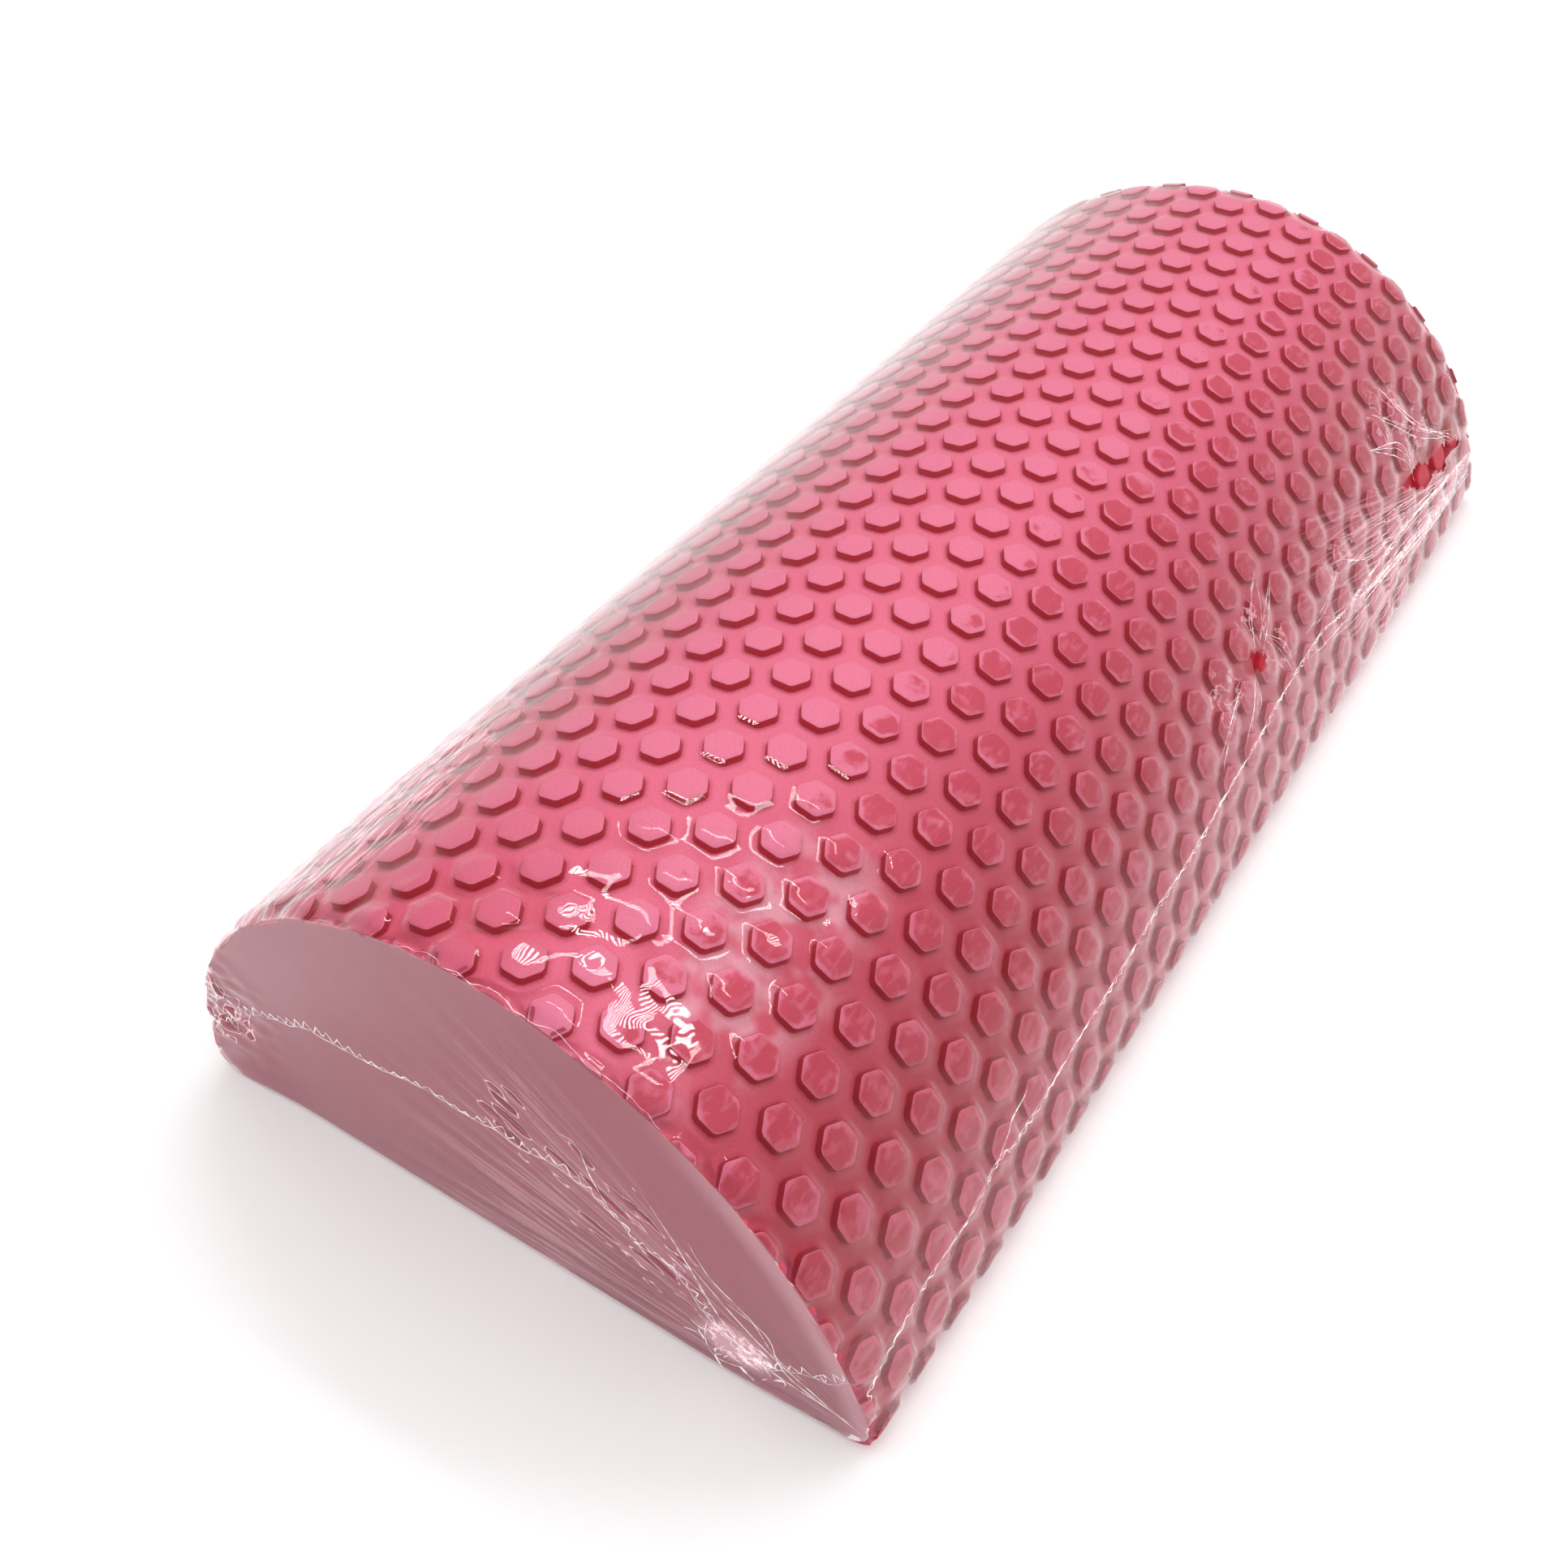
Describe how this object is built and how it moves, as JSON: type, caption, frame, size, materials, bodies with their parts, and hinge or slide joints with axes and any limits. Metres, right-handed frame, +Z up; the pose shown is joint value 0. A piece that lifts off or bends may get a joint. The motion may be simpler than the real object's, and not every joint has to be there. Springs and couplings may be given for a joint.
{
  "type": "half foam roller",
  "caption": "Half-round exercise roller of soft foam, flat side down, with a moulded field of raised hexagonal pads, in its clear shrink film with a small tear.",
  "frame": {"origin": "middle of the flat base, on the surface that the wrapped roller lies on", "axes": "+Y along the roller, +X across its base, +Z up through the crest of the curved side"},
  "size_m": [0.1496, 0.3012, 0.0703],
  "materials": {
    "foam": "matt closed-cell foam, rose pink",
    "film": "clear glossy shrink film"
  },
  "bodies": {
    "root": {"foam_body": "foam", "shrink_film": "film"}
  },
  "joints": []
}
